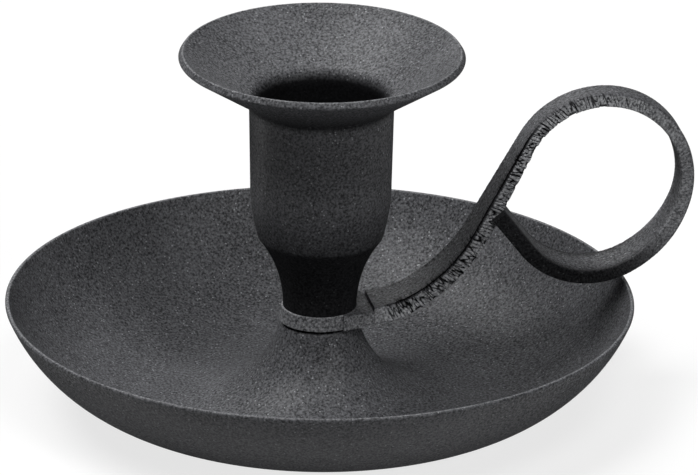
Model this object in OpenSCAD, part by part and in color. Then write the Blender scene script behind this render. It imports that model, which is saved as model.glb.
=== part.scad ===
// Chamberstick: a spun drip saucer with a raised centre, a flared candle cup and a
// flat strip handle bent into a finger loop. One screw clamps the three together.
// Millimetres, +Z up. The origin is the centre of the foot ring, on the table.
// The handle runs out along +X.

/* [Saucer] */
// diameter over the rim
saucer_d = 110; // [96:1:130]
// height of the rim above the table
saucer_h = 18.8; // [16:0.2:22]
// thickness of the spun sheet
sheet_t = 0.8; // [0.6:0.1:1]
// outer radius of the flat foot ring
foot_r = 27.1; // [25:0.5:29]
// width of the flat foot ring
foot_w = 2.6; // [2:0.2:3.6]
// height of the raised centre above the table
hill_h = 15.2; // [13:0.2:17]
// radius of the flat seat on top of the raised centre
hill_seat_r = 6.1; // [5.8:0.1:7]

/* [Candle cup] */
// bore that holds the candle
socket_d = 22.4; // [21:0.2:24]
// height of the cup from its foot to its rim
cup_h = 47.1; // [43:0.5:52]
// radius of the cup's foot, where it stands on the handle's eye
neck_r = 6.45; // [6.3:0.05:6.9]
// radius of the hollow sweep from the foot up to the shoulder
neck_sweep_r = 21; // [19:0.5:24]
// height above the cup's foot where the shoulder is widest
shoulder_z = 22.9; // [21:0.2:25]
// radius of the shoulder's rounding, seen from the side
shoulder_r = 35; // [30:1:45]
// height above the cup's foot where the candle bore ends
bore_end_z = 19; // [18:0.2:20.5]
// wall at the shoulder
wall_low = 1.15; // [1:0.05:1.5]
// wall under the flare
wall_high = 1.45; // [1.3:0.05:1.8]
// floor of the cup
floor_t = 1.2; // [1:0.1:1.6]
// diameter over the flared rim
flare_d = 50; // [44:0.5:56]
// rise of the flare, in degrees from level
flare_slope = 33; // [28:1:38]
// thickness of the flare
flare_t = 1.4; // [1.2:0.1:1.8]
// rounding of the rim's two edges
rim_round = 0.35; // [0.2:0.05:0.5]
// rounding from the bore into the flare
mouth_round = 4; // [3:0.5:5]
// hollow rounding under the flare
throat_round = 1.5; // [1:0.25:2.5]

/* [Handle] */
// diameter of the eye between cup and saucer
eye_d = 14.4; // [13.6:0.2:16]
// thickness of the eye
eye_t = 2.9; // [2.4:0.1:3.4]
// distance from the axis to the step where the strip begins
step_x = 8.9; // [8.4:0.1:10]
// height of that step above the eye
step_h = 0.37; // [0.2:0.01:0.6]
// distance from the axis to the matching step in the underside
under_step_x = 6.45; // [6:0.05:8]
// strip thickness at the eye
strip_t = 2.9; // [2.4:0.1:3.4]
// strip thickness round the loop
loop_t = 2.35; // [2:0.05:2.8]
// strip thickness at the free end
tip_t = 2.8; // [2:0.1:3]
// strip width at the eye
strip_w = 9.7; // [8:0.1:11]
// strip width where the straight stretch begins
rise_w = 7; // [6:0.1:8]
// strip width where the loop begins
waist_w = 5.4; // [5:0.1:6]
// strip width at its narrowest, on top of the loop
loop_w = 4.9; // [4.4:0.1:6]
// strip width at the far side of the loop
side_w = 5.8; // [5:0.1:6.4]
// strip width where the loop opens out below its far side
heel_w = 6.1; // [5.8:0.1:7]
// strip width where the last bend begins
close_w = 7.9; // [7.2:0.1:9]
// strip width at the free end
tip_w = 10.4; // [8:0.1:11]
// radius of the first bend, out of the eye
bend_a_r = 17.1; // [14:0.1:20]
// turn of the first bend, in degrees
bend_a_turn = 27; // [24:1:30]
// radius of the second bend
bend_b_r = 28.6; // [25:0.2:32]
// turn of the second bend, in degrees
bend_b_turn = 34.3; // [32:0.1:36]
// length of the straight stretch before the loop
rise_len = 17.5; // [16.5:0.5:20]
// radius of the loop over its top and past its far side
loop_r = 15.1; // [14:0.1:16]
// turn of the loop past its far side, in degrees
loop_past = 20; // [15:1:25]
// radius of the loop's lower outer part
heel_r = 19.2; // [18:0.1:20.5]
// turn of the loop's lower outer part, in degrees
heel_turn = 42; // [40:0.5:44]
// radius of the bend that brings the end back
close_r = 14.9; // [14:0.1:15.5]
// turn of that bend, in degrees
close_turn = 81; // [77:1:83]

/* [Clamp screw] */
// thread diameter
screw_d = 5; // [4:0.5:5]
// length under the head
screw_len = 14; // [12:1:16]
// diameter of the screw's head
head_d = 9.5; // [8:0.1:9.8]
// height of the screw's head
head_h = 3.7; // [2.6:0.1:4]
// room round the screw in the clamped parts
screw_room = 0.25; // [0.15:0.05:0.4]
// diameter of the two flat washers
washer_d = 10; // [9:0.1:10.2]
// thickness of the two flat washers
washer_t = 1; // [0.8:0.1:1.2]
// diameter of the spring washer
lock_d = 9.2; // [8:0.1:9.6]
// thickness of the spring washer
lock_t = 1.2; // [0.9:0.1:1.4]
// nut width across its flats
nut_flats = 8; // [7:0.5:9]
// nut thickness
nut_t = 4; // [3.2:0.1:4.7]

/* [Hidden] */
$fn = 96;

// far more than any profile reaches, for cutting planes
far = 300;
// cuts run this far past what they cut
past = 1;
// neighbouring stretches of the cup's wall run this far into each other
lap = 0.002;

coat = [0.17, 0.175, 0.185];
zinc = [0.68, 0.69, 0.71];

// hole through everything the screw passes
hole_r = screw_d / 2 + screw_room;
// running gap between the screw and the washers and nut
thread_gap = 0.05;

// heights of the clamped stack, from the table up
eye_z = hill_h;
cup_z = eye_z + eye_t;
head_washer_z = cup_z + floor_t;
head_z = head_washer_z + washer_t;
flat_washer_z = hill_h - sheet_t - washer_t;
lock_z = flat_washer_z - lock_t;
nut_z = lock_z - nut_t;

// saucer wall: one arc, level at the foot ring, that ends in a round bead at the rim
bead_r = sheet_t / 2;
bead_x = saucer_d / 2 - bead_r;
bead_z = saucer_h - bead_r;
bowl_out = bead_x - foot_r;
bowl_r = (pow(bowl_out, 2) + pow(bead_z, 2) - pow(bead_r, 2)) / (2 * (bead_z - bead_r));

// raised centre: one hollow arc, level at the foot ring, and a small round shoulder
foot_in = foot_r - foot_w;
// inside radius of the shoulder, the sheet's sharpest bend
inner_bend = 0.2;
hill_round = sheet_t + inner_bend;
hill_in = foot_in - hill_seat_r;
hill_up = hill_h - sheet_t - hill_round;
hill_r = (pow(hill_in, 2) + pow(hill_up, 2) - pow(hill_round, 2)) / (2 * (hill_up + hill_round));
hill_centre = [foot_in, sheet_t + hill_r];
hill_round_centre = [hill_seat_r, hill_h - hill_round];

// candle cup, with heights measured from its foot
socket_r = socket_d / 2;
low_r = socket_r + wall_low;
high_r = socket_r + wall_high;
sweep_centre = [neck_r + neck_sweep_r, 0];
shoulder_centre = [low_r - shoulder_r, shoulder_z];
// the crease where the shoulder turns in to the neck
crease = circles_meet(shoulder_centre, shoulder_r, sweep_centre, neck_sweep_r);
crease_in = [crease.x - wall_low, crease.y];
inner_taper = (socket_r - crease_in.x) / (bore_end_z - crease_in.y);
// the flare's own directions, along its face and square to it
flare_dir = [cos(flare_slope), sin(flare_slope)];
flare_up = [-sin(flare_slope), cos(flare_slope)];
// lower outer corner of the flared rim, before its edges are rounded
rim_corner = [flare_d / 2 + rim_round * (cos(flare_slope) + sin(flare_slope) - 1),
              cup_h - rim_round + rim_round * sin(flare_slope)
              - (flare_t - rim_round) * cos(flare_slope)];
// where the flare's two faces would meet the body's straight walls
under_z = rim_corner.y - (rim_corner.x - high_r) * tan(flare_slope);
over_z = rim_corner.y + flare_t / cos(flare_slope) - (rim_corner.x - socket_r) * tan(flare_slope);
corner_share = tan((90 - flare_slope) / 2);
throat_centre = [high_r + throat_round, under_z - throat_round * corner_share];
mouth_centre = [socket_r + mouth_round, over_z - mouth_round * corner_share];
throat_end = throat_centre + throat_round * flare_up;
mouth_end = mouth_centre + mouth_round * flare_up;
// length of the flare's straight part, from the mouth's rounding to the rim
flare_len = (rim_corner - mouth_end) * flare_dir;

// handle: a place on the strip is [x, z, heading], and each stretch starts where the last ends
rise = bend_a_turn + bend_b_turn;
// the strip's level start runs this far into the eye
step_lap = 0.6;
strip_under_z = cup_z + step_h - strip_t;
start = [step_x - step_lap, strip_under_z + strip_t / 2, 0];
bend_b_start = after_turn(start, bend_a_r, bend_a_turn);
rise_start = after_turn(bend_b_start, bend_b_r, bend_b_turn);
loop_start = after_run(rise_start, rise_len);
side = after_turn(loop_start, loop_r, -(rise + 90));
heel_start = after_turn(side, loop_r, -loop_past);
close_start = after_turn(heel_start, heel_r, -heel_turn);
tip_start = after_turn(close_start, close_r, -close_turn);
loop_top_x = loop_start.x + loop_r * sin(rise);
// most that a bend turns from one place to the next, in degrees
bend_step = 4;
over_loop = concat([loop_start], bend_places(loop_start, loop_r, -(rise + 90)));
before_side = over_loop[len(over_loop) - 2];
// the straight stretch's lower face, which the free end butts against
seat_a = beside(rise_start, -strip_t / 2);
seat_b = beside(loop_start, -loop_t / 2);
// length of the free end that is let into that face
tip_sink = 0.15;
// width of the strip before its edges are tapered
widest = 2 * max(strip_w, tip_w, side_w);
// beyond the loop's far side the plan view's width holds
side_far = [side.x + loop_t, side_w];
// the eye's edge runs on straight from where it meets these lines to the strip's corners
strip_corner = [step_x, strip_w / 2];
eye_tangent = tangent_from(strip_corner, eye_d / 2);

function dir(h) = [cos(h), sin(h)];
function left(h) = [-sin(h), cos(h)];
function at(p) = [p.x, p.y];
function beside(p, d) = at(p) + d * left(p.z);
function after_run(p, len) = let (q = at(p) + len * dir(p.z)) [q.x, q.y, p.z];
// a positive turn is anticlockwise
function after_turn(p, r, turn) =
    let (s = sign(turn), q = at(p) + s * r * (left(p.z) - left(p.z + turn)))
    [q.x, q.y, p.z + turn];
// evenly spaced places round a bend, without its first
function bend_places(p, r, turn) =
    let (count = ceil(abs(turn) / bend_step))
    [for (i = [1:count]) after_turn(p, r, turn * i / count)];
// one face of the strip through these places, from thickness t0 at the first to t1 at the last
function strip_face(places, side_sign, t0, t1) =
    let (last = len(places) - 1)
    [for (i = [0:last]) beside(places[i], side_sign * (t0 + (t1 - t0) * i / last) / 2)];
function backwards(list) = [for (i = [len(list) - 1:-1:0]) list[i]];
function cross2(a, b) = a.x * b.y - a.y * b.x;
// where the line from p along d meets the line through a and b
function line_meets(p, d, a, b) = p + d * cross2(a - p, b - a) / cross2(d, b - a);
// the farther round of the two points where lines from p touch a circle round the origin
function tangent_from(p, r) =
    let (turn = atan2(p.y, p.x) + acos(r / norm(p)))
    r * [cos(turn), sin(turn)];
// the upper of the two points where two circles meet
function circles_meet(a, ra, b, rb) =
    let (v = b - a, d = norm(v), u = v / d,
         s = (ra * ra - rb * rb + d * d) / (2 * d),
         q = sqrt(ra * ra - s * s))
    a + s * u + q * [-u.y, u.x];

// the part of a circle or ring between two directions less than 180 degrees apart
module sector(centre, a, b) {
    intersection() {
        translate(centre) children();
        polygon([centre, centre + far * a, centre + far * (a + b), centre + far * b]);
    }
}

module ring(outer, inner) {
    difference() {
        circle(r = outer);
        circle(r = inner);
    }
}

module saucer() {
    color(coat) rotate_extrude() {
        // bowl wall and its bead
        sector([foot_r, bowl_r], [0, -1], [bowl_out, bead_z - bowl_r] / bowl_r)
            ring(bowl_r, bowl_r - sheet_t);
        translate([bead_x, bead_z]) circle(r = bead_r);
        // flat foot ring
        translate([foot_in, 0]) square([foot_w, sheet_t]);
        // flank of the raised centre, its shoulder and its seat
        sector(hill_centre, (hill_round_centre - hill_centre) / hill_r, [0, -1])
            ring(hill_r + sheet_t, hill_r);
        sector(hill_round_centre, [0, 1], (hill_centre - hill_round_centre) / hill_r)
            ring(hill_round, hill_round - sheet_t);
        translate([hole_r, hill_h - sheet_t]) square([hill_seat_r - hole_r, sheet_t]);
    }
}

// the cup's outline below the flare, solid to the axis
module cup_body_outline() {
    difference() {
        square([low_r + throat_round, crease.y]);
        translate(sweep_centre) circle(r = neck_sweep_r);
    }
    intersection() {
        translate(shoulder_centre) circle(r = shoulder_r);
        translate([0, crease.y]) square([low_r, shoulder_z - crease.y]);
    }
    difference() {
        polygon([[0, shoulder_z - lap], [low_r - lap, shoulder_z - lap], [low_r, shoulder_z],
                 [high_r, throat_centre.y], throat_centre, throat_end,
                 mouth_end - flare_t * flare_up, mouth_end, [0, mouth_end.y]]);
        translate(throat_centre) circle(r = throat_round);
    }
}

// the hollow inside the cup
module cup_hollow_outline() {
    difference() {
        polygon([[0, floor_t], [socket_r - inner_taper * (bore_end_z - floor_t), floor_t],
                 [socket_r, bore_end_z], [0, bore_end_z]]);
        translate(sweep_centre) circle(r = neck_sweep_r + wall_low);
    }
    translate([0, bore_end_z]) square([socket_r, mouth_centre.y - bore_end_z]);
    difference() {
        polygon([[0, mouth_centre.y], mouth_centre, mouth_end,
                 [mouth_end.x, cup_h], [0, cup_h]]);
        translate(mouth_centre) circle(r = mouth_round);
    }
    translate([0, -past]) square([hole_r, floor_t + 2 * past]);
}

// the flare from the mouth's rounding to its rim, lying along +X
module flare_band_outline() {
    translate([-flare_len - lap, 0]) square([flare_len + lap - rim_round, flare_t]);
    translate([-rim_round - lap, rim_round]) square([rim_round + lap, flare_t - 2 * rim_round]);
    for (y = [rim_round, flare_t - rim_round])
        translate([-rim_round, y]) circle(r = rim_round);
}

module candle_cup() {
    color(coat) translate([0, 0, cup_z]) rotate_extrude() {
        difference() {
            cup_body_outline();
            cup_hollow_outline();
        }
        translate(rim_corner) rotate(flare_slope) flare_band_outline();
    }
}

// the strip seen from the side, with its width still uncut
module strip(outline) {
    rotate([90, 0, 0]) linear_extrude(height = widest, center = true) polygon(outline);
}

// a tapering plan view, symmetric about the X axis, from pairs of x and width
module plan_taper(stations) {
    near = [for (s = stations) [s.x, -s.y / 2]];
    back = [for (s = backwards(stations)) [s.x, s.y / 2]];
    translate([0, 0, -far]) linear_extrude(height = 2 * far) polygon(concat(near, back));
}

// from the eye up and over to the far side of the loop
module handle_upper() {
    rising = concat([start], bend_places(start, bend_a_r, bend_a_turn),
                    bend_places(bend_b_start, bend_b_r, bend_b_turn));
    top = concat(strip_face(rising, 1, strip_t, strip_t), strip_face(over_loop, 1, loop_t, loop_t));
    under = concat(strip_face(rising, -1, strip_t, strip_t),
                   strip_face(over_loop, -1, loop_t, loop_t));
    intersection() {
        strip(concat(top, backwards(under)));
        plan_taper([[step_x, strip_w], [rise_start.x, rise_w], [loop_start.x, waist_w],
                    [loop_top_x, loop_w], [side.x, side_w], side_far]);
    }
}

// from the far side of the loop back to the free end, with one step of the upper part repeated
module handle_lower() {
    places = concat([side], bend_places(side, loop_r, -loop_past),
                    bend_places(heel_start, heel_r, -heel_turn),
                    bend_places(close_start, close_r, -close_turn));
    outer = strip_face(places, 1, loop_t, tip_t);
    inner = strip_face(places, -1, loop_t, tip_t);
    sink = tip_sink * left(rise);
    along = dir(tip_start.z);
    outer_end = line_meets(outer[len(outer) - 1], along, seat_a + sink, seat_b + sink);
    inner_end = line_meets(inner[len(inner) - 1], along, seat_a + sink, seat_b + sink);
    intersection() {
        strip(concat([beside(before_side, loop_t / 2)], outer, [outer_end, inner_end],
                     backwards(inner), [beside(before_side, -loop_t / 2)]));
        plan_taper([[outer_end.x - tip_t, tip_w], [close_start.x, close_w],
                    [heel_start.x, heel_w], [side.x, side_w], side_far]);
    }
}

// the eye's straight flanks, from where they leave its round edge out to x, from this height up
module eye_flanks(x, from_z) {
    y = eye_tangent.y + (strip_corner.y - eye_tangent.y) * (x - eye_tangent.x)
        / (strip_corner.x - eye_tangent.x);
    translate([0, 0, from_z]) linear_extrude(height = cup_z - from_z)
        polygon([[eye_tangent.x, -eye_tangent.y], [x, -y], [x, y], eye_tangent]);
}

module handle() {
    color(coat) difference() {
        union() {
            translate([0, 0, eye_z]) cylinder(d = eye_d, h = eye_t);
            eye_flanks(under_step_x, eye_z);
            eye_flanks(step_x, strip_under_z);
            translate([0, -strip_w / 2, strip_under_z])
                cube([step_x + step_lap, strip_w, cup_z - strip_under_z]);
            handle_upper();
            handle_lower();
        }
        translate([0, 0, eye_z - past]) cylinder(r = hole_r, h = eye_t + 2 * past);
    }
}

// pan head screw with a cross recess
module clamp_screw() {
    chamfer = 0.6;
    dome_r = 8.3;
    recess_w = 1.1;
    recess_len = 5;
    recess_depth = 2.2;
    color(zinc) translate([0, 0, head_z]) difference() {
        union() {
            translate([0, 0, chamfer - screw_len]) cylinder(d = screw_d, h = screw_len - chamfer);
            translate([0, 0, -screw_len])
                cylinder(d1 = screw_d - 2 * chamfer, d2 = screw_d, h = chamfer);
            intersection() {
                cylinder(d = head_d, h = head_h);
                translate([0, 0, head_h - dome_r]) sphere(r = dome_r);
            }
        }
        for (turn = [45, 135])
            rotate(turn) translate([-recess_len / 2, -recess_w / 2, head_h - recess_depth])
                cube([recess_len, recess_w, head_h]);
    }
}

module washer(d, t) {
    difference() {
        cylinder(d = d, h = t);
        translate([0, 0, -past]) cylinder(r = screw_d / 2 + thread_gap, h = t + 2 * past);
    }
}

module head_washer() {
    color(zinc) translate([0, 0, head_washer_z]) washer(washer_d, washer_t);
}

module flat_washer() {
    color(zinc) translate([0, 0, flat_washer_z]) washer(washer_d, washer_t);
}

// spring washer pressed flat, with its slanting cut
module lock_washer() {
    cut_w = 0.9;
    cut_slant = 30;
    color(zinc) translate([0, 0, lock_z]) difference() {
        washer(lock_d, lock_t);
        translate([0, -lock_d / 2, lock_t / 2]) rotate([0, cut_slant, 0])
            cube([cut_w, lock_d, 4 * lock_t], center = true);
    }
}

// the nut's corners are bevelled down to a circle just inside its flats
module hex_nut() {
    inside_flats = 0.12;
    bevel_slope = 30;
    corner_r = nut_flats / sqrt(3);
    face_r = nut_flats / 2 - inside_flats;
    bevel_h = (corner_r - face_r) * tan(bevel_slope);
    color(zinc) translate([0, 0, nut_z]) difference() {
        intersection() {
            cylinder(r = corner_r, h = nut_t, $fn = 6);
            rotate_extrude() polygon([[0, 0], [face_r, 0], [corner_r, bevel_h],
                                      [corner_r, nut_t - bevel_h], [face_r, nut_t], [0, nut_t]]);
        }
        translate([0, 0, -past]) cylinder(r = screw_d / 2 + thread_gap, h = nut_t + 2 * past);
    }
}

saucer();
handle();
candle_cup();
clamp_screw();
head_washer();
flat_washer();
lock_washer();
hex_nut();
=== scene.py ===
# %% [markdown]
# A black metal chamberstick: a thin spun saucer, a flared candle cup and a strip of flat bar bent into
# a finger loop. The construction model already gives every piece its real size and place, so this
# lesson only makes the looks. It loads that model as a frame that never moves, and builds finer
# meshes and finishes around it. Lengths are in metres, and the origin is on the table, under the cup.

# %% Load the frame
import math
import bmesh
import bpy
from mathutils import Matrix, Vector, noise


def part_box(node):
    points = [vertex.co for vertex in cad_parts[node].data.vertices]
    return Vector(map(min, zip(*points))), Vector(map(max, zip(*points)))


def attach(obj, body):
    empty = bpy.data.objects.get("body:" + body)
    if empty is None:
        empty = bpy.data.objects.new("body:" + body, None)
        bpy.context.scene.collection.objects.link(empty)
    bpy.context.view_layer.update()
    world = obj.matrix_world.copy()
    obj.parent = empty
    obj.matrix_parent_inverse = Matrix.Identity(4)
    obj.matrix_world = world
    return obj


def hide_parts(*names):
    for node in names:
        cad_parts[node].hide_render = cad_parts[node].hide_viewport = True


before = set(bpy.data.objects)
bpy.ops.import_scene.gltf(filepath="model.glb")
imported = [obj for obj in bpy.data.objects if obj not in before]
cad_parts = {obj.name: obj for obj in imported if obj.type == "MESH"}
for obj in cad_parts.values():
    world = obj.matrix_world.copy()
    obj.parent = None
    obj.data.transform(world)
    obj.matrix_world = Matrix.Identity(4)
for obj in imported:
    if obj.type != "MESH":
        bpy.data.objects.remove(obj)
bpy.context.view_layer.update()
MM = 0.001
print("CAD nodes:", sorted(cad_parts))

# %% [markdown]
# The camera comes first, so that every later step can be judged in the picture. The real photograph
# was taken through a long lens from a little above the rim, which keeps the two rims nearly true
# ellipses. A camera that is far away with a long focal length gives the same flat perspective.
# The aim point is set off from the object's centre because the frame holds the handle too.

# %% Camera
VIEW_AZIMUTH = math.radians(-11.35)
VIEW_ELEVATION = math.radians(21.7)
VIEW_ROLL = math.radians(0.6)
VIEW_DISTANCE = 2.75
PICTURE_WIDTH = 698
PIXELS_PER_METRE = 5720
AIM_RIGHT = 5.0 * MM
AIM_UP = 11.0 * MM

saucer_low, saucer_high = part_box("saucer")
camera_back = Vector((math.sin(VIEW_AZIMUTH) * math.cos(VIEW_ELEVATION),
                      -math.cos(VIEW_AZIMUTH) * math.cos(VIEW_ELEVATION),
                      math.sin(VIEW_ELEVATION)))
camera_right = Vector((math.cos(VIEW_AZIMUTH), math.sin(VIEW_AZIMUTH), 0))
camera_up = camera_back.cross(camera_right)
aim = Vector((0, 0, saucer_high.z)) + AIM_RIGHT * camera_right + AIM_UP * camera_up

camera_data = bpy.data.cameras.new("photo_camera")
camera_data.lens = PIXELS_PER_METRE * VIEW_DISTANCE * camera_data.sensor_width / PICTURE_WIDTH
camera_data.clip_start = 0.1
camera_data.clip_end = 20
camera = bpy.data.objects.new("photo_camera", camera_data)
bpy.context.scene.collection.objects.link(camera)
right = camera_right * math.cos(VIEW_ROLL) + camera_up * math.sin(VIEW_ROLL)
up = camera_up * math.cos(VIEW_ROLL) - camera_right * math.sin(VIEW_ROLL)
camera.matrix_world = Matrix.Translation(aim + camera_back * VIEW_DISTANCE) @ Matrix(
    (right, up, camera_back)).transposed().to_4x4()
bpy.context.scene.camera = camera
print(f"camera lens {camera_data.lens:.0f} mm at {VIEW_DISTANCE} m")

# %% [markdown]
# Spun metal is round about one axis, so each such piece is drawn as half of its section and turned
# about that axis. A pen that walks along the section, with straight lines and arcs, keeps the
# section readable. An arc is made by spinning one point, and the whole section is then spun again.

# %% A pen for sections
class Pen:
    """Walks a closed section in the XZ plane, in millimetres from the axis and the table."""

    def __init__(self, x, z):
        self.mesh = bmesh.new()
        self.tip = self.mesh.verts.new((x * MM, 0, z * MM))

    def line(self, x, z):
        made = bmesh.ops.extrude_vert_indiv(self.mesh, verts=[self.tip])
        self.tip = made["verts"][0]
        self.tip.co = (x * MM, 0, z * MM)

    def arc(self, centre, degrees, steps):
        """Turns about centre, anticlockwise when degrees is positive."""
        made = bmesh.ops.spin(self.mesh, geom=[self.tip], cent=(centre[0] * MM, 0, centre[1] * MM),
                              axis=(0, -1, 0), angle=math.radians(degrees), steps=steps)
        self.tip = [item for item in made["geom_last"] if isinstance(item, bmesh.types.BMVert)][0]

    def turned(self, steps):
        """Closes the section and spins it once about the Z axis."""
        self.mesh.verts.ensure_lookup_table()
        self.mesh.edges.new((self.tip, self.mesh.verts[0]))
        bmesh.ops.spin(self.mesh, geom=self.mesh.verts[:] + self.mesh.edges[:], cent=(0, 0, 0),
                       axis=(0, 0, 1), angle=math.tau, steps=steps, use_merge=True)
        return self.mesh


def direction(degrees):
    return Vector((math.cos(math.radians(degrees)), math.sin(math.radians(degrees))))


def degrees_of(vector):
    return math.degrees(math.atan2(vector[1], vector[0]))


# %% [markdown]
# A finished bmesh becomes an object that sits at the origin, with its place in its mesh. Its normals
# are made to point outwards, its faces are shaded smooth, and edges sharper than a set angle stay
# crisp. Each piece then rides on the one rigid body and stands in for its CAD node.

# %% Turn a bmesh into a piece
CRISP_ANGLE = math.radians(38)
MERGE_DISTANCE = 1e-7


def piece_from(mesh, name, *nodes):
    bmesh.ops.remove_doubles(mesh, verts=mesh.verts, dist=MERGE_DISTANCE)
    bmesh.ops.recalc_face_normals(mesh, faces=mesh.faces)
    for face in mesh.faces:
        face.smooth = True
    for edge in mesh.edges:
        edge.smooth = not (edge.is_manifold and edge.calc_face_angle() > CRISP_ANGLE)
    data = bpy.data.meshes.new(name)
    open_edges = sum(not edge.is_manifold for edge in mesh.edges)
    mesh.to_mesh(data)
    mesh.free()
    piece = bpy.data.objects.new(name, data)
    bpy.context.scene.collection.objects.link(piece)
    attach(piece, "root")
    if nodes:
        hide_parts(*nodes)
    print(f"{name}: {len(data.polygons)} faces, {open_edges} open edges")
    return piece


# %% [markdown]
# A powder coat draws back from a thin edge, and hands rub it there, so a rim is paler than the face
# beside it; the rims are painted paler, partly for that wear and partly as a painted highlight where the
# light catches them. A ring inside the flare is a painted highlight too, and the hollows of the cup and
# the recesses of the cut edges are painted black as painted shade. Each point of a mesh can keep a number
# of its own, which here holds this wear and painted light and shade: 1 is pale, 0 is the plain coat and
# -1 is black. The coat's material reads it further down. Two small functions help to place it: one
# makes a soft step, and the other follows a list of marks.

# %% Pale rims from wear and painted highlight, painted shade in hollows
# How much paler the rims of the saucer and the cup are: partly wear, partly a painted highlight.
RIM_WEAR_AND_HIGHLIGHT = 0.26


def fade(value, low, high):
    """0 below low, 1 above high, and a smooth climb between."""
    share = min(1.0, max(0.0, (value - low) / (high - low)))
    return share * share * (3 - 2 * share)


def value_at(distance, marks):
    """Straight lines between marks of distance and value, level beyond the ends."""
    if distance <= marks[0][0]:
        return marks[0][1]
    for (d0, v0), (d1, v1) in zip(marks, marks[1:]):
        if distance <= d1:
            return v0 + (v1 - v0) * (distance - d0) / (d1 - d0)
    return marks[-1][1]


def mark_rim_wear_and_highlight(mesh, above, outside):
    """Marks the points over one height and beyond one radius, both in millimetres, as paler: partly wear,
    partly a painted highlight.
    """
    layer = mesh.verts.layers.float.new("wear_and_painted_light")
    for vert in mesh.verts:
        if vert.co.z > above * MM and vert.co.xy.length > outside * MM:
            vert[layer] = RIM_WEAR_AND_HIGHLIGHT
    return mesh


def paint_light_and_shade_by_height(mesh, outer_marks, inner_marks):
    """Paints shade and highlight on a turned mesh by height above the table, the faces that look inwards by
    marks of their own.
    """
    bmesh.ops.recalc_face_normals(mesh, faces=mesh.faces)
    mesh.normal_update()
    layer = mesh.verts.layers.float["wear_and_painted_light"]
    for vert in mesh.verts:
        marks = inner_marks if vert.normal.xy.dot(vert.co.xy) < 0 else outer_marks
        vert[layer] = min(vert[layer], 0) + value_at(vert.co.z / MM, marks) + max(vert[layer], 0)
    return mesh


# %% [markdown]
# The saucer is one sheet, 0.8 mm thick. On the real one a disc is pressed over a former, so the
# section is a chain of arcs: a round bead at the rim, the bowl's wall, a flat ring to stand on, and a
# trumpet-shaped centre that ends in a flat seat. Both faces are drawn, so the sheet has its real
# thickness and the underside is there to be looked at.

# %% Saucer
SHEET = 0.8
FOOT_OUT = 27.1
FOOT_IN = 24.5
SEAT_R = 6.1
SEAT_Z = 15.2
SHOULDER_R = 1.0
HOLE_R = 2.75
TURN_STEPS = 256

rim_r = saucer_high.x / MM
rim_z = saucer_high.z / MM
bead_r = SHEET / 2
bead = Vector((rim_r - bead_r, rim_z - bead_r))
bowl_r = ((bead.x - FOOT_OUT) ** 2 + bead.y ** 2 - bead_r ** 2) / (2 * (bead.y - bead_r))
bowl_centre = Vector((FOOT_OUT, bowl_r))
bowl_end = degrees_of(bead - bowl_centre)

shoulder = Vector((SEAT_R, SEAT_Z - SHOULDER_R))
hill_up = SEAT_Z - SHEET - SHOULDER_R
hill_r = (((FOOT_IN - SEAT_R) ** 2 + hill_up ** 2 - SHOULDER_R ** 2)
          / (2 * (hill_up + SHOULDER_R)))
hill_centre = Vector((FOOT_IN, SHEET + hill_r))
hill_top = degrees_of(hill_centre - shoulder)

pen = Pen(HOLE_R, SEAT_Z - SHEET)
pen.line(SEAT_R, SEAT_Z - SHEET)
pen.arc(shoulder, hill_top - 90, 4)
pen.arc(hill_centre, 90 - hill_top, 24)
pen.line(FOOT_OUT, 0)
pen.arc(bowl_centre, 90 + bowl_end, 30)
pen.arc(bead, 180, 10)
pen.arc(bowl_centre, -90 - bowl_end, 30)
pen.line(FOOT_IN, SHEET)
pen.arc(hill_centre, hill_top - 90, 24)
pen.arc(shoulder, 90 - hill_top, 8)
pen.line(HOLE_R, SEAT_Z)
saucer = piece_from(mark_rim_wear_and_highlight(pen.turned(TURN_STEPS), rim_z - 0.09, bead.x - 1), "saucer_dish", "saucer")

# %% [markdown]
# The candle cup is turned the same way. Its outside has a hollow sweep up from the foot, a crisp crease
# where the sheet was folded in, a rounded shoulder, an almost straight body and a wide flare. The
# inside follows the outside at the wall's thickness, with a true bore where the candle stands.

# %% Candle cup
NECK_R = 6.45
SWEEP_R = 21.0
CREASE_Z = 12.924
SHOULDER_Z = 22.9
SHOULDER_CURVE = 35.0
WALL_LOW = 1.15
WALL_HIGH = 1.45
SOCKET_R = 11.2
BORE_LOW_Z = 19.0
FLOOR = 1.2
FLARE_SLOPE = 33.0
FLARE_T = 1.4
RIM_ROUND = 0.35
MOUTH_ROUND = 4.0
THROAT_ROUND = 1.5
BODY_STEPS = 24

cup_low, cup_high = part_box("candle_cup")
foot_z = cup_low.z / MM
flare_r = cup_high.x / MM
top_z = cup_high.z / MM
along = direction(FLARE_SLOPE)
out = direction(FLARE_SLOPE + 90)
rim_low = Vector((flare_r - RIM_ROUND, top_z - RIM_ROUND - (FLARE_T - 2 * RIM_ROUND) * out.y))
rim_high = rim_low + (FLARE_T - 2 * RIM_ROUND) * out
under = rim_low - RIM_ROUND * out
over = rim_high + RIM_ROUND * out
high_r = SOCKET_R + WALL_HIGH
corner_share = math.tan(math.radians(90 - FLARE_SLOPE) / 2)
under_z = under.y - (under.x - high_r) * along.y / along.x
over_z = over.y - (over.x - SOCKET_R) * along.y / along.x
throat = Vector((high_r + THROAT_ROUND, under_z - THROAT_ROUND * corner_share))
mouth = Vector((SOCKET_R + MOUTH_ROUND, over_z - MOUTH_ROUND * corner_share))

sweep = Vector((NECK_R + SWEEP_R, foot_z))
crease_turn = math.degrees(math.asin(CREASE_Z / SWEEP_R))
curve_turn = math.degrees(math.asin((SHOULDER_Z - CREASE_Z) / SHOULDER_CURVE))
curve_centre = Vector((SOCKET_R + WALL_LOW - SHOULDER_CURVE, foot_z + SHOULDER_Z))
inner_r = SWEEP_R + WALL_LOW
inner_low = math.degrees(math.asin(FLOOR / inner_r))
inner_high = math.degrees(math.asin(CREASE_Z / inner_r))
inner_top = sweep + inner_r * direction(180 - inner_high)

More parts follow.
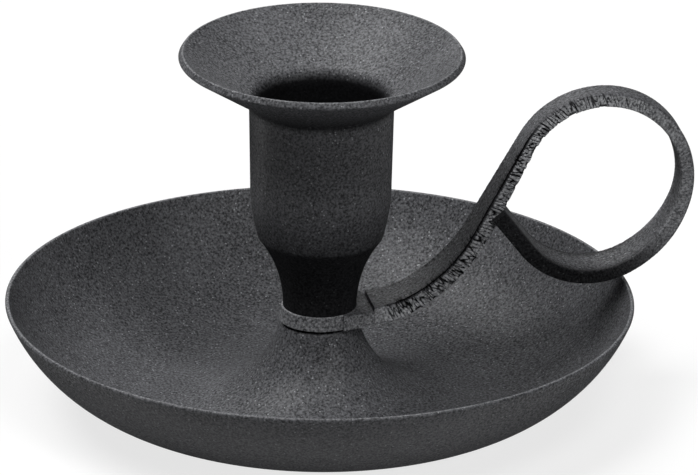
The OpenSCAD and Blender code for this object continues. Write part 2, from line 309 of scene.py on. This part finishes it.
pen = Pen(HOLE_R, foot_z)
pen.line(NECK_R, foot_z)
pen.arc(sweep, -crease_turn, 24)
pen.arc(curve_centre, curve_turn, 16)
body_low = Vector((SOCKET_R + WALL_LOW, foot_z + SHOULDER_Z))
for step in range(1, BODY_STEPS + 1):
    pen.line(*body_low.lerp(Vector((high_r, throat.y)), step / BODY_STEPS))
pen.arc(throat, FLARE_SLOPE - 90, 8)
pen.line(*under)
pen.arc(rim_low, 90, 6)
pen.line(*(rim_high + RIM_ROUND * along))
pen.arc(rim_high, 90, 6)
pen.line(*(mouth + MOUTH_ROUND * out))
pen.arc(mouth, 90 - FLARE_SLOPE, 12)
pen.line(SOCKET_R, foot_z + BORE_LOW_Z)
pen.line(*inner_top)
pen.arc(sweep, inner_high - inner_low, 16)
pen.line(HOLE_R, foot_z + FLOOR)
# Painted shade: the neck, the crease, the lower shoulder and the hollow under the flare are painted darker,
# and the bore below the mouth is painted black, where shade falls. Just above the mouth's rounding, a ring is
# a painted highlight.
CUP_OUTSIDE_PAINTED_SHADE = [(foot_z, -0.85), (foot_z + CREASE_Z - 0.1, -0.8), (foot_z + CREASE_Z + 0.6, -0.45),
              (foot_z + 17, -0.2), (foot_z + SHOULDER_Z, 0), (throat.y - 0.6, 0), (throat.y + 0.5, -0.7),
              (throat.y + 2.5, -0.7), (top_z - 1.5, 0)]
CUP_INSIDE_SHADE_AND_HIGHLIGHT = [(mouth.y + 1.0, -0.95), (mouth.y + 1.8, -0.6), (mouth.y + 2.7, 0), (mouth.y + 3.1, 0.13),
              (top_z, 0.02)]
cup_mesh = mark_rim_wear_and_highlight(pen.turned(TURN_STEPS), top_z - 0.045, flare_r - 1)
cup = piece_from(paint_light_and_shade_by_height(cup_mesh, CUP_OUTSIDE_PAINTED_SHADE, CUP_INSIDE_SHADE_AND_HIGHLIGHT), "candle_cup_shell", "candle_cup")

# %% [markdown]
# The handle is flat bar, sheared to a taper and bent. Its wide faces are smooth, and its cut edges carry
# the marks of the shear. The line that it follows is a chain of straight runs and bends, each of which
# starts where the last one ends, in the plane of the picture. It starts inside the eye, which is
# clamped between the cup and the saucer.

# %% The handle's line
STRIP_T = 2.9
STEP_H = 0.37
EYE_T = 2.9
LINE_START_X = 3.0
LEVEL_RUN = 5.3
RISE_RUN = 17.5
TIP_RUN = 8.45
STEP_LENGTH = 0.11
STRETCHES = [("level", None, LEVEL_RUN), ("out", 17.1, 27.0), ("up", 28.6, 34.3),
             ("rise", None, RISE_RUN), ("loop", 15.1, -151.3), ("past", 15.1, -20.0),
             ("heel", 19.2, -42.0), ("close", 14.9, -81.0), ("tip", None, TIP_RUN)]

eye_z = foot_z - EYE_T


def line_of_handle():
    """Places along the bar's middle: x, z, heading, distance and the name of its stretch."""
    x, z = LINE_START_X, foot_z + STEP_H - STRIP_T / 2
    heading, distance = 0.0, 0.0
    yield x, z, heading, distance, "level"
    for stretch, radius, amount in STRETCHES:
        length = amount if radius is None else radius * math.radians(abs(amount))
        count = max(1, round(length / STEP_LENGTH))
        for _ in range(count):
            turn = 0.0 if radius is None else amount / count
            chord = length / count
            x += chord * math.cos(math.radians(heading + turn / 2))
            z += chord * math.sin(math.radians(heading + turn / 2))
            heading += turn
            distance += chord
            yield x, z, heading, distance, stretch


stations = list(line_of_handle())
first_of = {name: next(i for i, place in enumerate(stations) if place[4] == name)
            for name, _, _ in STRETCHES}
bar_length = stations[-1][3]
print(f"handle: {len(stations)} stations, {bar_length:.1f} mm of bar, "
      f"ends at x {stations[-1][0]:.1f}, z {stations[-1][1]:.1f}")

# %% [markdown]
# The section is a rectangle with small round corners. Its cut edges are divided finely, because they
# carry relief, and its wide faces coarsely. Each point is kept as a share of the half width and half
# thickness, and an offset in millimetres, so that the bar's taper can be given afterwards.

# %% The bar's section
CORNER_R = 0.22
CORNER_STEPS = 3
EDGE_STEPS = 16
FACE_STEPS = 4


def section_points():
    for quarter, (w_sign, t_sign) in enumerate([(1, 1), (-1, 1), (-1, -1), (1, -1)]):
        for step in range(CORNER_STEPS + 1):
            turn = direction(90 * quarter + 90 * step / CORNER_STEPS)
            yield w_sign, t_sign, CORNER_R * turn.x, CORNER_R * turn.y
        on_face = quarter % 2 == 0
        count = FACE_STEPS if on_face else EDGE_STEPS
        for step in range(1, count):
            share = 1 - 2 * step / count
            if on_face:
                yield w_sign * share, t_sign, 0, t_sign * CORNER_R
            else:
                yield w_sign, t_sign * share, w_sign * CORNER_R, 0


# %% [markdown]
# The bar was sheared to a taper while it was flat, so its width goes by the distance along it. It flares
# into the eye, narrows to the top of the loop and widens again towards its free end. It is thickest
# at the eye. There it is set down: its top steps up at one place and its underside at another, which
# is the mark of the tool that pressed the eye flat. The tool's edge left a nick before the upper step.

# %% The bar's taper and thickness
TOP_STEP_X = 8.9
LOW_STEP_X = 6.45
NICK_LENGTH = 0.5
NICK_DEPTH = 0.45

starts = {name: stations[first_of[name]][3] for name, _, _ in STRETCHES}
loop_top = starts["loop"] + 16.2
WIDTHS = [(0, 13.24), (TOP_STEP_X - LINE_START_X, 9.7), (starts["rise"], 7.0), (starts["loop"], 5.4),
          (loop_top, 4.9), (starts["past"], 5.8), (starts["heel"], 6.1), (starts["close"], 7.9),
          (bar_length, 10.4)]
THICKNESS = [(starts["rise"], STRIP_T), (starts["loop"], 2.35), (starts["past"], 2.35), (bar_length, 2.8)]


def levels_at(index):
    """Heights of the bar's two wide faces over its middle line."""
    x, _, _, distance, stretch = stations[index]
    half = value_at(distance, THICKNESS) / 2
    low, top = -half, half
    if stretch in ("level", "out"):
        if x < TOP_STEP_X:
            top -= STEP_H
        if x < LOW_STEP_X:
            low -= STEP_H
        if TOP_STEP_X - NICK_LENGTH < x < TOP_STEP_X:
            top -= NICK_DEPTH
    return low, top


# %% [markdown]
# The relief on the cut edges is noise that is stretched across the edge: it changes quickly along the bar
# and slowly through its thickness. Where it passes through zero there is a thin slash, so the slashes
# are as irregular as the noise. They lean a little, as a shear leaves them, are shallow at the two
# corners, and fade towards the far side of the loop. A thin groove runs under the wide face, and the
# opposite corner is chipped. The noise is a fixed function of place, so the mesh comes out the same
# every time. Each point also keeps a number for the finish. On a ridge it is up to 1, pale, partly from
# wear and partly a painted highlight that fades out towards the end of the loop. In a slash, the groove
# or a chip it is -1, painted shade in the recess, and the edge at the end of the loop is painted dark as
# a painted shadow.

# %% Relief of the cut edges
SLASH_PITCH = 0.66
SLASH_WIDTH = 0.11
SLASH_DEPTH = 0.34
RIDGE_LEAN = 0.25
ROUGH_DEPTH = 0.07
GROOVE_DROP = 0.34
GROOVE_WIDTH = 0.3
GROOVE_DEPTH = 0.5
CHIP_DEPTH = 0.4
EYE_TILT = 0.26
BAR_TILT = 0.09
END_TILT = 0.25
# How dark the edge at the end of the loop is painted: a painted shadow.
END_PAINTED_SHADOW = 0.75
RELIEF_ROOM = 0.17


def edge_relief(distance, across, low, top, seed):
    """How far a point of the cut edge lies inside the bar's width, in millimetres, and its number for wear
    with painted light and shade.
    """
    leaned = distance + RIDGE_LEAN * across
    wave = noise.noise(Vector((leaned / SLASH_PITCH, across * 0.3, seed)))
    fine = noise.noise(Vector((leaned * 3.1, across * 0.5, seed + 7)))
    rough = noise.noise(Vector((distance * 3.7, across * 3.7, seed + 13)))
    sheared = fade(distance, 6, 11) * (0.2 + 0.8 * (1 - fade(distance, 50, 82)))
    slash = sheared * (1 - fade(abs(wave), 0.02, SLASH_WIDTH))
    middle = fade(min(across - low, top - across), -0.1, 0.5)
    inside = slash * SLASH_DEPTH * (0.15 + 0.85 * middle) + 0.1 * sheared * (fine + 0.5)
    inside += ROUGH_DEPTH * (rough + 0.6)
    tilt = BAR_TILT + (EYE_TILT - BAR_TILT) * (1 - fade(distance, 10, 22))
    tilt += (END_TILT - BAR_TILT) * fade(distance, 98, 108)
    inside += tilt * (across - low) * fade(distance, 4, 8)
    grooved = fade(distance, 7, 12) * (1 - fade(distance, starts["loop"], starts["loop"] + 6))
    grooved *= 1 - fade(abs(top - GROOVE_DROP - across), 0.1, GROOVE_WIDTH)
    chip = noise.noise(Vector((distance * 1.3, 0.5, seed + 21)))
    chipped = sheared * fade(chip, 0.12, 0.4) * (1 - fade(across - low, 0.1, 0.7))
    inside += GROOVE_DEPTH * grooved + CHIP_DEPTH * chipped
    # Pale ridges: partly wear, partly a painted highlight that fades out towards the end of the loop.
    pale = 0.5 + 0.5 * fade(distance, 4, 9) - 0.5 * fade(distance, 62, 86)
    pale *= (1 - fade(distance, 96, 106)) * fade(top - across, 0.1, 0.4) * fade(fine + rough, -1.0, 0)
    # Painted shade in the slashes, the groove and the chips, and a painted shadow on the end of the loop.
    painted_shade = max(slash, grooved, chipped, END_PAINTED_SHADOW * fade(distance, 101, 109))
    return inside, pale * (1 - painted_shade) - painted_shade


# %% [markdown]
# The bar's skin is one long grid. Its first direction runs along the bar's line and its second goes once
# round the section, so a point's two places in the grid say where it belongs. A ring that is
# extruded again and again would give the same mesh, but each extrusion would search all of it. The
# grid's long sides meet and are merged, and its ends are capped.

# %% Wrap a grid round the section
section = list(section_points())
bar = bmesh.new()
bmesh.ops.create_grid(bar, x_segments=len(stations) - 1, y_segments=len(section), size=1)
steps_along = round(len(bar.verts) / (len(section) + 1)) - 1
shade_layer = bar.verts.layers.float.new("wear_and_painted_light")

for vert in bar.verts:
    index = round((vert.co.x + 1) / 2 * steps_along)
    place = round((vert.co.y + 1) / 2 * len(section)) % len(section)
    x, z, heading, distance, _ = stations[index]
    w_share, t_share, dw, dt = section[place]
    low, top = levels_at(index)
    middle, half_t = (low + top) / 2, (top - low) / 2
    level = middle + t_share * (half_t - CORNER_R) + dt
    y = w_share * (value_at(distance, WIDTHS) / 2 + RELIEF_ROOM * fade(distance, 6, 11) - CORNER_R) + dw
    side = -1 if w_share < 0 else 1
    inside, shade = edge_relief(distance, level, low, top, 3 + 28 * side)
    y -= side * inside * abs(w_share)
    # Only the cut edges carry the wear with painted light and shade.
    vert[shade_layer] = shade if abs(w_share) == 1 else 0
    normal = direction(heading + 90)
    vert.co = ((x + level * normal.x) * MM, y * MM, (z + level * normal.y) * MM)

bmesh.ops.remove_doubles(bar, verts=bar.verts, dist=MERGE_DISTANCE)
bmesh.ops.holes_fill(bar, edges=[edge for edge in bar.edges if edge.is_boundary], sides=0)
print(f"bar: {len(bar.verts)} points, {steps_along + 1} stations")

# %% [markdown]
# The bar ends in a round eye that is clamped between the cup and the saucer. It is a flat ring, drawn as a
# section and spun. Its rim is cut like the bar's edges: it leans in towards the top, is undercut at the
# foot, where the shear broke through, and gets the same roughness. It stays a hair inside the bar's
# faces, so that no two faces share a plane.

# %% Eye of the handle
EYE_R = 7.2
EYE_BEVEL = 0.2
EYE_UNDERCUT = 0.42
EYE_LEAN = 0.4
EYE_STEPS = 256
HAIR = 0.02

rim_low_z = eye_z + HAIR + EYE_UNDERCUT
rim_rise = EYE_T - 2 * HAIR - EYE_UNDERCUT - EYE_BEVEL
pen = Pen(HOLE_R, eye_z + HAIR)
pen.line(EYE_R - EYE_UNDERCUT, eye_z + HAIR)
pen.line(EYE_R - 0.8 * EYE_UNDERCUT, rim_low_z - 0.1)
pen.line(EYE_R, rim_low_z)
for step in range(1, 9):
    pen.line(EYE_R - EYE_LEAN * step / 8, rim_low_z + rim_rise * step / 8)
pen.arc((EYE_R - EYE_LEAN - EYE_BEVEL, rim_low_z + rim_rise), 90, 3)
pen.line(HOLE_R, eye_z + EYE_T - HAIR)
eye_mesh = pen.turned(EYE_STEPS)
shade_layer = eye_mesh.verts.layers.float.new("wear_and_painted_light")
for vert in eye_mesh.verts:
    radius = vert.co.xy.length
    # The rim is paler, partly from wear and partly as painted light, as on the bar's cut edges.
    if radius > (EYE_R - EYE_LEAN - EYE_BEVEL / 2) * MM:
        rough = noise.noise(vert.co * 2200)
        vert.co.xy *= 1 - ROUGH_DEPTH * (rough + 0.6) * MM / radius
        vert[shade_layer] = 0.5 * fade(rough, -0.6, 0.3)
    # Painted shade: the undercut at the foot of the rim is painted black.
    if radius > (EYE_R - EYE_UNDERCUT - 0.1) * MM and vert.co.z < (rim_low_z - 0.05) * MM:
        vert[shade_layer] = -1
    # Painted highlight: the top edge of the rim is painted pale.
    if radius > NECK_R * MM and vert.co.z > (eye_z + EYE_T - HAIR - 0.6 * EYE_BEVEL) * MM:
        vert[shade_layer] = 0.6
eye = piece_from(eye_mesh, "handle_eye")
bar_piece = piece_from(bar, "handle_bar", "handle")

# %% [markdown]
# A finish is a node tree. A few short helpers keep such a tree readable: one adds a node with its
# settings, and one joins two sockets. All patterns read object coordinates, in metres, so a noise of
# scale 3000 has bumps about a third of a millimetre across.

# %% Helpers for materials
def new_material(name):
    material = bpy.data.materials.new(name)
    material.use_nodes = True
    return material, material.node_tree, material.node_tree.nodes["Principled BSDF"]


def add(tree, kind, settings=None, **inputs):
    node = tree.nodes.new("ShaderNode" + kind)
    for name, value in (settings or {}).items():
        setattr(node, name, value)
    for name, value in inputs.items():
        node.inputs[name].default_value = value
    return node


def join(tree, source, output, target, socket):
    tree.links.new(source.outputs[output], target.inputs[socket])


def noise_at(tree, place, scale, detail=2.0):
    node = add(tree, "TexNoise", Scale=scale, Detail=detail, Roughness=0.6)
    join(tree, place, "Object", node, "Vector")
    return node


def ramp(tree, source, output, low, high, low_value, high_value):
    """A value that runs from low_value to high_value as the source runs from low to high."""
    node = add(tree, "MapRange")
    for name, value in (("From Min", low), ("From Max", high), ("To Min", low_value), ("To Max", high_value)):
        node.inputs[name].default_value = value
    join(tree, source, output, node, "Value")
    return node


# %% [markdown]
# The black finish is a baked powder with a fine sand texture. Close up it is a crust of grains, some of
# which catch the light. The grains are a change of colour and a fine bump, a few of the cells of a
# Voronoi pattern are painted brighter as painted glints, and a wide, weak noise keeps large faces from
# looking even. The finish follows the number that each mesh keeps, on a cut edge the one that the relief
# left: the same grains are paler where it is above 0, from wear and painted highlight, and black where
# it is below, which is painted shade, with less gloss. Pieces without that attribute read it as 0. The
# grains shade each other when they are seen at a flat angle, so the gloss there is duller than that of a
# smooth paint.

# %% Black sand coat
COAT_DARK = (0.0198, 0.02, 0.0218, 1)
COAT_LIGHT = (0.161, 0.163, 0.173, 1)
COAT_PAINTED_GLINT = (0.325, 0.33, 0.345, 1)
# Pale colours where the number is above 0: wear together with painted highlight.
WORN_AND_LIT_DARK = (0.118, 0.12, 0.126, 1)
WORN_AND_LIT_LIGHT = (0.59, 0.6, 0.62, 1)
# Black where the number is below 0: painted shade.
PAINTED_SHADE_BLACK = (0.004, 0.004, 0.0045, 1)
GRAIN_SCALE = 2400
PAINTED_GLINT_SCALE = 2300


def blend(tree, factor, output, low, high):
    """A colour between low and high, each of which is a colour or another blend."""
    node = add(tree, "Mix", {"data_type": "RGBA"})
    join(tree, factor, output, node, "Factor")
    for socket, value in (("A", low), ("B", high)):
        if isinstance(value, tuple):
            node.inputs[socket].default_value = value
        else:
            join(tree, value, "Result", node, socket)
    return node


coat, tree, shader = new_material("black_sand_coat")
place = add(tree, "TexCoord")
grain = noise_at(tree, place, GRAIN_SCALE, 3.0)
grain_share = ramp(tree, grain, "Fac", 0.34, 0.66, 0, 1)
cloud = noise_at(tree, place, 55, 3.0)
cloud_share = ramp(tree, cloud, "Fac", 0.3, 0.7, -0.12, 0.12)
share = add(tree, "Math", {"operation": "ADD", "use_clamp": True})
join(tree, grain_share, "Result", share, 0)
join(tree, cloud_share, "Result", share, 1)
# Painted glints: a few Voronoi cells are painted brighter, for grains catching the light.
cells = add(tree, "TexVoronoi", Scale=PAINTED_GLINT_SCALE)
join(tree, place, "Object", cells, "Vector")
chosen = ramp(tree, cells, "Color", 0.80, 0.86, 0, 1)
near = ramp(tree, cells, "Distance", 0.40, 0.24, 0, 1)
painted_glint = add(tree, "Math", {"operation": "MULTIPLY"})
join(tree, chosen, "Result", painted_glint, 0)
join(tree, near, "Result", painted_glint, 1)
grains = blend(tree, share, "Value", COAT_DARK, COAT_LIGHT)
grains = blend(tree, painted_glint, "Value", grains, COAT_PAINTED_GLINT)
# The number on each point: wear and painted light above 0, painted shade below.
shade = add(tree, "Attribute", {"attribute_name": "wear_and_painted_light"})
worn_and_lit = blend(tree, share, "Value", WORN_AND_LIT_DARK, WORN_AND_LIT_LIGHT)
edge = blend(tree, shade, "Fac", grains, worn_and_lit)
painted_shade_depth = ramp(tree, shade, "Fac", 0, -1, 0, 1)
join(tree, blend(tree, painted_shade_depth, "Result", edge, PAINTED_SHADE_BLACK), "Result", shader, "Base Color")
rough = ramp(tree, grain, "Fac", 0.34, 0.66, 0.46, 0.36)
facing = add(tree, "LayerWeight", Blend=0.5)
dull = ramp(tree, facing, "Facing", 0.45, 0.9, 0, 0.5)
total = add(tree, "Math", {"operation": "ADD"})
join(tree, rough, "Result", total, 0)
join(tree, dull, "Result", total, 1)
join(tree, total, "Value", shader, "Roughness")
# Less gloss where shade is painted, so that the painted shade stays dark.
gloss = ramp(tree, shade, "Fac", 0, -1, 0.15, 0.04)
join(tree, gloss, "Result", shader, "Specular IOR Level")
bump = add(tree, "Bump", Strength=0.8, Distance=0.06 * MM)
join(tree, grain, "Fac", bump, "Height")
join(tree, bump, "Normal", shader, "Normal")

for piece in (saucer, cup, bar_piece, eye):
    piece.data.materials.append(coat)

# %% [markdown]
# The clamp's screw, washers and nut are zinc plated steel. They keep their meshes from the construction
# model, and only get a finish: a metal with faint crystals in it and small changes of gloss.

# %% Zinc plate
ZINC_LIGHT = (0.66, 0.67, 0.68, 1)
ZINC_DARK = (0.48, 0.49, 0.51, 1)

zinc, tree, shader = new_material("zinc_plate")
place = add(tree, "TexCoord")
shader.inputs["Metallic"].default_value = 1
cloud = noise_at(tree, place, 900, 4.0)
join(tree, blend(tree, cloud, "Fac", ZINC_DARK, ZINC_LIGHT), "Result", shader, "Base Color")
rough = ramp(tree, cloud, "Fac", 0.3, 0.7, 0.42, 0.28)
join(tree, rough, "Result", shader, "Roughness")
fine = noise_at(tree, place, 6000)
bump = add(tree, "Bump", Strength=0.3, Distance=0.02 * MM)
join(tree, fine, "Fac", bump, "Height")
join(tree, bump, "Normal", shader, "Normal")

for node in ("clamp_screw", "head_washer", "flat_washer", "lock_washer", "hex_nut"):
    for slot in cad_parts[node].material_slots:
        slot.material = zinc

# %% [markdown]
# The floor is a plain pale plane that catches the shadow. To the camera, and in reflections, it glows a
# little, so that it shows as white paper without any more light on the object.

# %% Floor
def glow_where_seen(tree, strength):
    """A value that is strength on camera, glossy and transmission rays and 0 on all others."""
    path = add(tree, "LightPath")
    total = None
    for kind in ("Is Camera Ray", "Is Glossy Ray", "Is Transmission Ray"):
        if total is None:
            total, output = path, kind
            continue
        both = add(tree, "Math", {"operation": "MAXIMUM"})
        join(tree, total, output, both, 0)
        join(tree, path, kind, both, 1)
        total, output = both, "Value"
    scaled = add(tree, "Math", {"operation": "MULTIPLY"})
    join(tree, total, output, scaled, 0)
    scaled.inputs[1].default_value = strength
    return scaled


FLOOR_GLOW = 0.76
paper, tree, shader = new_material("white_paper")
shader.inputs["Base Color"].default_value = (0.22, 0.22, 0.22, 1)
shader.inputs["Roughness"].default_value = 0.9
shader.inputs["Emission Color"].default_value = (1, 1, 1, 1)
join(tree, glow_where_seen(tree, FLOOR_GLOW), "Value", shader, "Emission Strength")

floor_mesh = bmesh.new()
bmesh.ops.create_grid(floor_mesh, x_segments=1, y_segments=1, size=4)
floor_data = bpy.data.meshes.new("floor")
floor_mesh.to_mesh(floor_data)
floor_mesh.free()
floor = bpy.data.objects.new("floor", floor_data)
bpy.context.scene.collection.objects.link(floor)
floor_data.materials.append(paper)

# %% [markdown]
# A soft studio: a pale room all round, and a few large lamps. Lamps that are large and near give the soft
# shadows of the photograph.

# %% Room and lamps
world = bpy.data.worlds.new("studio")
world.use_nodes = True
background = world.node_tree.nodes["Background"]
background.inputs["Color"].default_value = (1, 1, 1, 1)
background.inputs["Strength"].default_value = 0.01
bpy.context.scene.world = world
bpy.context.scene.view_settings.view_transform = "Standard"

LAMPS = [("front_high", 10, 60, 20, 0.86), ("left_high", -70, 60, 20, 0.77), ("top", -103, 76, 22, 0.71),
         ("left_back", -110, 60, 20, 0.67), ("low_back", 180, 12, 24, 0.46),
         ("back", -146, 52, 24, 0.42), ("front_right", 30, 28, 20, 0.48)]
for name, azimuth, elevation, size, strength in LAMPS:
    lamp_data = bpy.data.lights.new(name, "SUN")
    lamp_data.angle = math.radians(size)
    lamp_data.energy = strength
    lamp = bpy.data.objects.new(name, lamp_data)
    lamp.matrix_world = (Matrix.Rotation(math.radians(azimuth), 4, "Z")
                         @ Matrix.Rotation(math.radians(90 - elevation), 4, "X"))
    bpy.context.scene.collection.objects.link(lamp)
